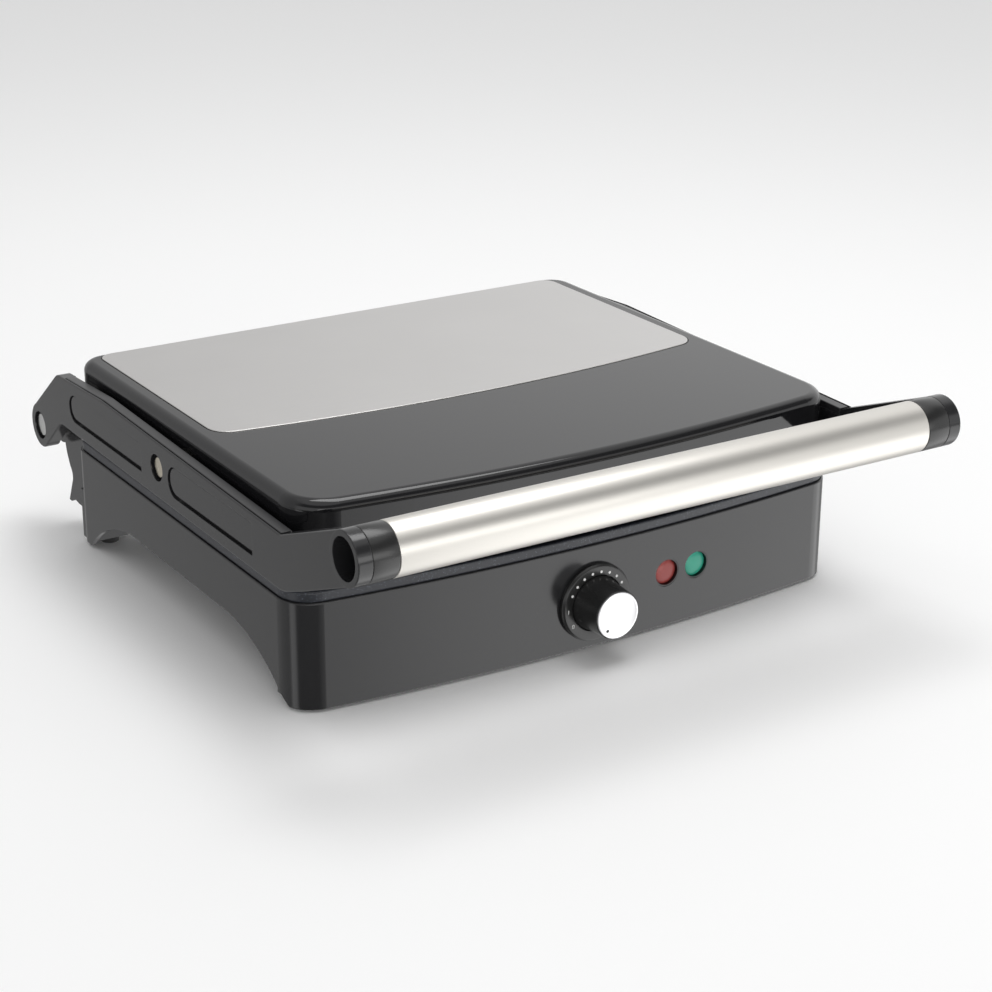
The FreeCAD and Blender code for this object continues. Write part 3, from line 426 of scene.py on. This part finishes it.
def make_finishes():
    """One material for each slot of the record, and the print."""
    tints = bpy.context.scene.press_finishes
    plastic, gloss, lid = tuple(tints.plastic), tuple(tints.gloss), tuple(tints.lid)
    steel, coat = tuple(tints.steel), tuple(tints.coat)
    return {
        "black_plastic": moulded_plastic("black_plastic", plastic, 0.17, 0.04, 0.6 * MM),
        "rail_plastic": moulded_plastic("rail_plastic", scaled(plastic, 1.3), 0.3, 0.08, 0.5 * MM),
        "lid_gloss": gloss_plastic("lid_gloss", lid, 0.06),
        "sleeve_gloss": gloss_plastic("sleeve_gloss", gloss, 0.03),
        "steel_satin": satin_steel("steel_satin", steel, 0.34, 1.0),
        "steel_brushed": turned_steel("steel_brushed", scaled(steel, 1.15), 0.06, "x"),
        "cap_aluminium": spun_aluminium("cap_aluminium"),
        "nonstick": nonstick("nonstick", coat),
        "heater_steel": heater_sheath("heater_steel"),
        "steel_bright": plated("steel_bright", (0.74, 0.74, 0.73), 0.14),
        "brass": plated("brass", (0.72, 0.66, 0.54), 0.18),
        "bush_nylon": dull_moulding("bush_nylon", (0.55, 0.53, 0.46), 900.0, 0.42),
        "rubber": dull_moulding("rubber", (0.018, 0.018, 0.018), 1400.0, 0.72),
        "red_lens": lamp_lens("red_lens", tuple(tints.red), middle("red_lamp_lens")),
        "green_lens": lamp_lens("green_lens", tuple(tints.green), middle("green_lamp_lens")),
        "neon_glass": dull_moulding("neon_glass", (0.55, 0.42, 0.36), 500.0, 0.12),
        "fuse_metal": plated("fuse_metal", (0.66, 0.66, 0.66), 0.25),
        "print_white": print_white("print_white"),
    }


def finish_of(slot):
    """The material of a slot; the finishes have to be made first."""
    if slot not in bpy.data.materials:
        raise RuntimeError("the finishes are made before the pieces")
    return bpy.data.materials[slot]


# ---------------------------------------------------------------------------------------------
# Making pieces
# ---------------------------------------------------------------------------------------------
def lathe(bm, origin, axis, profile, segments):
    """Turn a profile of (radius, place along the axis) once round the axis."""
    axis = Vector(axis).normalized()
    across = axis.orthogonal().normalized()
    ring = [bm.verts.new(Vector(origin) + across * radius + axis * place)
            for radius, place in profile]
    line = [bm.edges.new(pair) for pair in zip(ring, ring[1:])]
    if profile[0] != profile[-1] and profile[0][0] > 0 and profile[-1][0] > 0:
        line.append(bm.edges.new((ring[-1], ring[0])))
    bmesh.ops.spin(bm, geom=ring + line, cent=origin, axis=axis, angle=math.tau,
                   steps=segments, use_merge=True, use_duplicate=False)


def clean(bm):
    """Close poles and seams and point every face outwards."""
    bmesh.ops.remove_doubles(bm, verts=bm.verts, dist=1e-6)
    bmesh.ops.dissolve_degenerate(bm, edges=bm.edges, dist=1e-7)
    bmesh.ops.recalc_face_normals(bm, faces=bm.faces)


def round_sharp(bm, radius, segments=3, sharper_than=35.0):
    """Round every edge that turns by more than the given angle."""
    limit = math.radians(sharper_than)
    sharp = [edge for edge in bm.edges if len(edge.link_faces) == 2
             and edge.calc_face_angle(0.0) > limit]
    if radius > 0 and sharp:
        bmesh.ops.bevel(bm, geom=sharp, offset=radius, offset_type="OFFSET", segments=segments,
                        profile=0.5, affect="EDGES", clamp_overlap=True, material=-1)


def piece(bm, name, body, slot, stands_for=(), finish=None, smooth_below=40.0):
    """Put a finished mesh in the scene, riding on a body, with its finish."""
    mesh = bpy.data.meshes.new(name)
    for face in bm.faces:
        face.smooth = True
    limit = math.radians(smooth_below)
    for edge in bm.edges:
        if len(edge.link_faces) == 2 and edge.calc_face_angle(0.0) > limit:
            edge.smooth = False
    bm.to_mesh(mesh)
    bm.free()
    mesh.materials.append(finish_of(finish or slot))
    made = bpy.data.objects.new(name, mesh)
    bpy.context.scene.collection.objects.link(made)
    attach(made, body)
    if stands_for:
        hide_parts(*stands_for)
    return made


def turned(name, origin, axis, profile, body, slot, stands_for=(), rounding=0.0, segments=96):
    """A lathe-turned piece."""
    bm = bmesh.new()
    lathe(bm, origin, axis, profile, segments)
    clean(bm)
    round_sharp(bm, rounding)
    return piece(bm, name, body, slot, stands_for)


# ---------------------------------------------------------------------------------------------
# Operators
# ---------------------------------------------------------------------------------------------
class PRESS_OT_finishes(bpy.types.Operator):
    """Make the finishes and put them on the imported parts"""
    bl_idname = "press.finishes"
    bl_label = "Finishes"

    def execute(self, context):
        finishes = make_finishes()
        for node, made in frame["nodes"].items():
            made.data.materials.clear()
            made.data.materials.append(finishes[SLOT_OF[node]])
        return {"FINISHED"}


class PRESS_OT_handle(bpy.types.Operator):
    """Steel tube and the two gloss sleeves at its ends"""
    bl_idname = "press.handle"
    bl_label = "Handle"

    def execute(self, context):
        settings = context.scene.press_handle
        names = [("handle_tube", "steel_brushed", TUBE_WALL)]
        names += [("handle_sleeve_" + side, "sleeve_gloss", SLEEVE_WALL) for side in SIDES]
        for node, slot, thick in names:
            low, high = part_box(node)
            centre = middle(node)
            radius = extent(node).z / 2
            profile = [(radius - thick, low[0]), (radius, low[0]),
                       (radius, high[0]), (radius - thick, high[0])]
            turned("visual_" + node, (0.0, centre.y, centre.z), (1, 0, 0), profile, "arms", slot,
                   (node,), settings.edge, settings.segments)
        return {"FINISHED"}


class PRESS_OT_knob(bpy.types.Operator):
    """Thermostat knob, its spun cap and the pointer dot"""
    bl_idname = "press.knob"
    bl_label = "Knob"

    def execute(self, context):
        low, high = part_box("control_knob")
        wide = extent("control_knob").z / 2
        cap = extent("knob_cap").z / 2
        cap_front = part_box("knob_cap")[0][1]
        rim = cap + 0.7 * MM
        dial = DIAL_FACE_Y
        origin = (KNOB_AXIS.x, 0.0, KNOB_AXIS.z)
        body = [(0.0, high[1]), (wide, high[1]), (wide, dial - 0.5 * MM),
                (rim + 0.9 * MM, dial - 2.6 * MM), (rim, low[1] + 0.2 * MM),
                (cap + 0.1 * MM, low[1] + 0.2 * MM), (cap + 0.1 * MM, low[1] + 1.2 * MM),
                (0.0, low[1] + 1.2 * MM)]
        turned("visual_knob", origin, (0, 1, 0), body, "knob", "sleeve_gloss", ("control_knob",),
               0.35 * MM)
        face = [(0.0, cap_front + 1.6 * MM), (cap, cap_front + 1.6 * MM), (cap, cap_front + 0.2 * MM),
                (cap - 0.9 * MM, cap_front), (cap - 1.5 * MM, cap_front + 0.25 * MM),
                (0.0, cap_front + 0.25 * MM)]
        turned("visual_knob_cap", origin, (0, 1, 0), face, "knob", "cap_aluminium", ("knob_cap",),
               0.12 * MM)
        dot = round_axis(cap - 3.0 * MM, POINTER_ANGLE, 0.0)
        notch = [(0.0, cap_front + 0.4 * MM), (0.9 * MM, cap_front + 0.4 * MM),
                 (0.9 * MM, cap_front + 0.2 * MM), (0.0, cap_front + 0.2 * MM)]
        turned("pointer_dot", dot, (0, 1, 0), notch, "knob", "sleeve_gloss", (), 0.03 * MM, 24)
        return {"FINISHED"}


class PRESS_OT_dial(bpy.types.Operator):
    """Fixed dial ring round the knob, with its printed dots and numbers"""
    bl_idname = "press.dial"
    bl_label = "Dial"

    def execute(self, context):
        settings = context.scene.press_controls
        low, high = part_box("dial_ring")
        wide = extent("dial_ring").z / 2
        inner = extent("control_knob").z / 2 + KNOB_GAP
        origin = (KNOB_AXIS.x, 0.0, KNOB_AXIS.z)
        profile = [(inner, high[1]), (wide, high[1]), (wide, low[1] + 1.3 * MM),
                   (wide - 1.1 * MM, low[1]), (inner, low[1])]
        turned("visual_dial_ring", origin, (0, 1, 0), profile, "base", "sleeve_gloss",
               ("dial_ring",), 0.25 * MM, 128)
        self.dots(settings)
        self.numbers(settings, inner, wide)
        return {"FINISHED"}

    def dots(self, settings):
        bm = bmesh.new()
        for step in range(settings.steps):
            angle = FIRST_DOT + step * settings.spacing
            spot = Matrix.Translation(round_axis(settings.dot_reach, angle, DIAL_FACE_Y))
            bmesh.ops.create_cone(bm, cap_ends=True, segments=20, radius1=settings.dot_radius,
                                  radius2=settings.dot_radius, depth=2 * settings.mark_proud,
                                  matrix=spot @ UPRIGHT)
        bmesh.ops.recalc_face_normals(bm, faces=bm.faces)
        piece(bm, "dial_dots", "base", "sleeve_gloss", (), "print_white")

    def numbers(self, settings, inner, wide):
        reach = (inner + wide - 0.9 * MM) / 2
        for text, angle in DIAL_NUMBERS:
            curve = bpy.data.curves.new("dial_number_" + text, "FONT")
            curve.body = text
            curve.size = 3.4 * MM
            curve.align_x = "CENTER"
            curve.align_y = "CENTER"
            curve.extrude = settings.mark_proud
            curve.resolution_u = 4
            holder = bpy.data.objects.new("text_" + text, curve)
            bpy.context.scene.collection.objects.link(holder)
            bpy.context.view_layer.update()
            mesh = bpy.data.meshes.new_from_object(holder)
            bpy.data.objects.remove(holder)
            bm = bmesh.new()
            bm.from_mesh(mesh)
            bpy.data.meshes.remove(mesh)
            spot = Matrix.Translation(round_axis(reach, angle, DIAL_FACE_Y))
            bmesh.ops.transform(bm, matrix=spot @ UPRIGHT, verts=bm.verts)
            clean(bm)
            piece(bm, "dial_number_" + text, "base", "sleeve_gloss", (), "print_white")


class PRESS_OT_lamps(bpy.types.Operator):
    """Domed lenses of the two signal lamps"""
    bl_idname = "press.lamps"
    bl_label = "Lamps"

    def execute(self, context):
        dome = context.scene.press_controls.dome
        for hue in ("red", "green"):
            node = hue + "_lamp_lens"
            low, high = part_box(node)
            centre = middle(node)
            radius = extent(node).z / 2
            steps = 8
            profile = [(0.0, high[1]), (radius, high[1]), (radius, low[1] + dome)]
            profile += [(radius * math.cos(turn) * 0.97, low[1] + dome * (1 - math.sin(turn)))
                        for turn in (math.radians(90.0) * i / steps for i in range(1, steps))]
            profile.append((0.0, low[1]))
            turned("visual_" + node, (centre.x, 0.0, centre.z), (0, 1, 0), profile, "base",
                   hue + "_lens", (node,), 0.2 * MM)
        return {"FINISHED"}


class PRESS_OT_stage(bpy.types.Operator):
    """Pale floor, soft light and the camera"""
    bl_idname = "press.stage"
    bl_label = "Studio"

    def execute(self, context):
        settings = context.scene.press_studio
        self.floor(settings)
        self.sky()
        self.lights()
        self.camera(settings)
        context.scene.view_settings.view_transform = "Standard"
        return {"FINISHED"}

    def floor(self, settings):
        bm = bmesh.new()
        bmesh.ops.create_grid(bm, x_segments=1, y_segments=1, size=12.0,
                              matrix=Matrix.Translation((0, 0, -0.1 * MM)))
        mesh = bpy.data.meshes.new("floor")
        bm.to_mesh(mesh)
        bm.free()
        f = Finish("floor")
        paper = f.noise(3.0, 2.0)
        tint = tuple(settings.floor)
        mesh.materials.append(f.done(f.mixed(paper, scaled(tint, 0.995), tint), 0.7))
        made = bpy.data.objects.new("floor", mesh)
        made.visible_glossy = False
        bpy.context.scene.collection.objects.link(made)

    def sky(self):
        """Pale room: brighter to the right and the rear, with a dim strip high in front.

        Below the horizon the gloss parts see this room instead of the floor: pale in front and to
        the rear, dim to the front left, with a bright streak on the left and a dark line in front.
        """
        world = bpy.data.worlds.new("room")
        bpy.context.scene.world = world
        world.use_nodes = True
        f = Finish.__new__(Finish)
        f.tree = world.node_tree
        split = f.node("ShaderNodeSeparateXYZ", None,
                       {0: f.node("ShaderNodeTexCoord").outputs["Generated"]})
        x, y, z = [Field(f, split.outputs[i]) for i in range(3)]
        rear = y.between(-0.15, 0.25)
        back = 0.62 + x.between(0.2, 0.8) * 0.5
        strip = z.between(0.36, 0.50) * (1 - z.between(0.72, 0.86))
        front = 1.05 - strip * 0.88
        high = z.between(0.75, 0.95)
        upper = (back * rear + front * (1 - rear)) * (1 - high) + high * 0.95
        left = 1 - x.between(-0.85, -0.55)
        streak = left * y.between(-0.32, -0.16) * (1 - y.between(0.0, 0.14))
        near = 0.16 + x.between(-0.1, 0.5) * 2.0
        lower = 0.5 * rear + near * (1 - rear) + streak * 1.2
        line = z.between(-0.20, -0.16) * (1 - z.between(-0.11, -0.08)) * (1 - rear)
        above = z.between(-0.12, -0.06)
        level = (upper * above + lower * (1 - above)) * (1 - line * 0.85)
        background = world.node_tree.nodes["Background"]
        f.join(background.inputs["Strength"], level)
        background.inputs["Color"].default_value = (1.0, 1.0, 1.0, 1.0)

    def lights(self):
        for name, place, size, power, tint in (
                ("overhead", (0.25, 0.15, 1.5), (1.0, 0.7), 9.0, (1.0, 1.0, 1.0)),
                ("front", (-0.2, -1.9, 0.34), (2.6, 0.62), 9.0, (1.0, 0.995, 0.985))):
            data = bpy.data.lights.new(name, "AREA")
            data.shape = "RECTANGLE"
            data.size, data.size_y = size
            data.energy = power
            data.color = tint
            made = bpy.data.objects.new(name, data)
            made.location = place
            made.rotation_euler = (Vector((0, 0, 0.08)) - Vector(place)).to_track_quat(
                "-Z", "Y").to_euler()
            made.visible_camera = False
            bpy.context.scene.collection.objects.link(made)

    def camera(self, settings):
        data = bpy.data.cameras.new("camera")
        data.lens = settings.lens
        data.sensor_width = 36.0
        data.clip_start = 0.05
        data.clip_end = 60.0
        made = bpy.data.objects.new("camera", data)
        turn = (Matrix.Rotation(-settings.yaw, 4, "Z")
                @ Matrix.Rotation(math.radians(90.0) - settings.pitch, 4, "X")
                @ Matrix.Rotation(settings.roll, 4, "Z"))
        made.matrix_world = Matrix.Translation(settings.place) @ turn
        bpy.context.scene.collection.objects.link(made)
        bpy.context.scene.camera = made


OPERATORS = (PRESS_OT_finishes, PRESS_OT_handle, PRESS_OT_knob, PRESS_OT_dial, PRESS_OT_lamps,
             PRESS_OT_stage)


class PRESS_PT_sidebar(bpy.types.Panel):
    """Sidebar panel of the press"""
    bl_label = "Panini press"
    bl_idname = "PRESS_PT_sidebar"
    bl_space_type = "VIEW_3D"
    bl_region_type = "UI"
    bl_category = "Press"

    def draw(self, context):
        for operator in OPERATORS:
            self.layout.operator(operator.bl_idname)
        for group in SETTINGS:
            settings = getattr(context.scene, group)
            for name in settings.__annotations__:
                self.layout.prop(settings, name)


SETTINGS = {"press_finishes": PressFinishes, "press_handle": PressHandle,
            "press_controls": PressControls, "press_studio": PressStudio}


def register():
    for group in SETTINGS.values():
        bpy.utils.register_class(group)
    for name, group in SETTINGS.items():
        setattr(bpy.types.Scene, name, PointerProperty(type=group))
    for operator in OPERATORS:
        bpy.utils.register_class(operator)
    bpy.utils.register_class(PRESS_PT_sidebar)


def unregister():
    bpy.utils.unregister_class(PRESS_PT_sidebar)
    for operator in reversed(OPERATORS):
        bpy.utils.unregister_class(operator)
    for name in SETTINGS:
        delattr(bpy.types.Scene, name)
    for group in reversed(SETTINGS.values()):
        bpy.utils.unregister_class(group)


def main():
    register()
    for operator in OPERATORS:
        category, name = operator.bl_idname.split(".")
        getattr(getattr(bpy.ops, category), name)()


if __name__ == "__main__":
    main()
